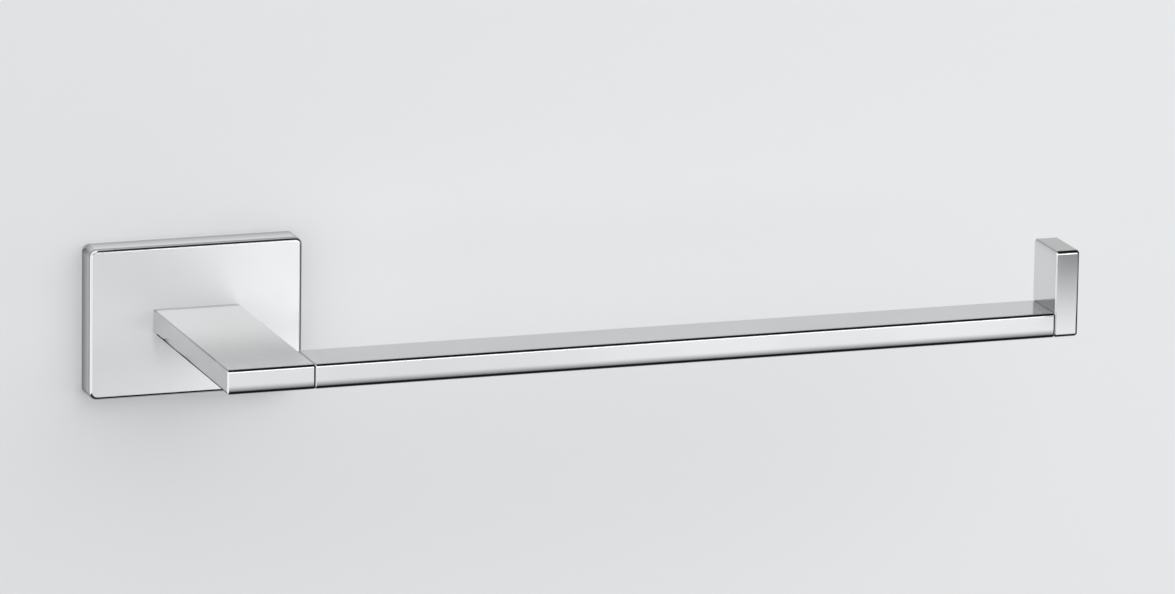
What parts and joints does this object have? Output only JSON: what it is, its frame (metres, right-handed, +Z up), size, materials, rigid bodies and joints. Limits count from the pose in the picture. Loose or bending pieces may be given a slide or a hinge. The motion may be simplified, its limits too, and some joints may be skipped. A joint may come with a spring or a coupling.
{
  "type": "towel holder",
  "caption": "Wall-held towel holder: rectangular cover, flat arm and open-ended flat rail with an upright end stop, in polished chrome.",
  "frame": {"origin": "centre of the cover's outline on the wall plane, which is also the middle of the bracket's back", "axes": "+X along the rail towards the open end, +Y into the wall, +Z up"},
  "size_m": [0.2999, 0.1242, 0.0486],
  "materials": {
    "polished_chrome": "mirror-polished chrome plate on brass",
    "zinc_plated_steel": "bright zinc plate, satin",
    "stainless_steel": "plain stainless, turned"
  },
  "bodies": {
    "root": {"cover_plate": "polished_chrome", "arm": "polished_chrome", "rail": "polished_chrome", "end_stop": "polished_chrome", "wall_bracket": "zinc_plated_steel", "wall_screw_left": "zinc_plated_steel", "wall_screw_right": "zinc_plated_steel", "arm_screw_left": "stainless_steel", "arm_screw_right": "stainless_steel", "arm_lock_washer_left": "stainless_steel", "arm_lock_washer_right": "stainless_steel", "cover_grub_screw": "stainless_steel", "rail_grub_screw": "stainless_steel", "end_stop_grub_screw": "stainless_steel"}
  },
  "joints": []
}
